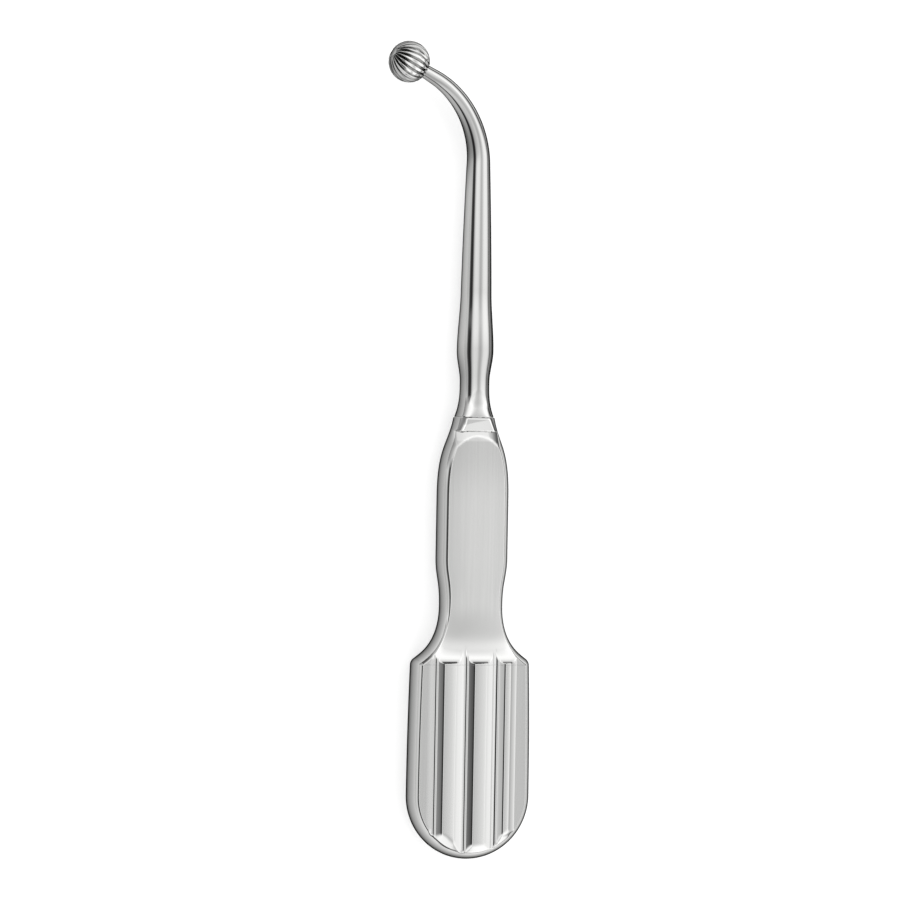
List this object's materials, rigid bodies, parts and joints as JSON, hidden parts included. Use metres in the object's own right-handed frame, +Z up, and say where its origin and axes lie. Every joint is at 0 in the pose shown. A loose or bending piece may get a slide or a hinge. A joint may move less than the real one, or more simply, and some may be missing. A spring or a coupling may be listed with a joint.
{
  "type": "antrum burr",
  "caption": "Surgical hand burr: a fluted ball on a bent tapering shank, with a flat grip and a ribbed, round-ended paddle handle.",
  "frame": {"origin": "on the surface that the burr lies on, under the middle of its whole outline", "axes": "+Y from the paddle to the ball along the handle, +Z up out of the front face, and the shank bends towards -X"},
  "size_m": [0.0382, 0.1888, 0.0138],
  "materials": {
    "handle_steel": "satin brushed faces with polished edges",
    "burr_steel": "mirror polished"
  },
  "bodies": {
    "root": {"handle": "handle_steel", "burr_shank": "burr_steel"}
  },
  "joints": []
}
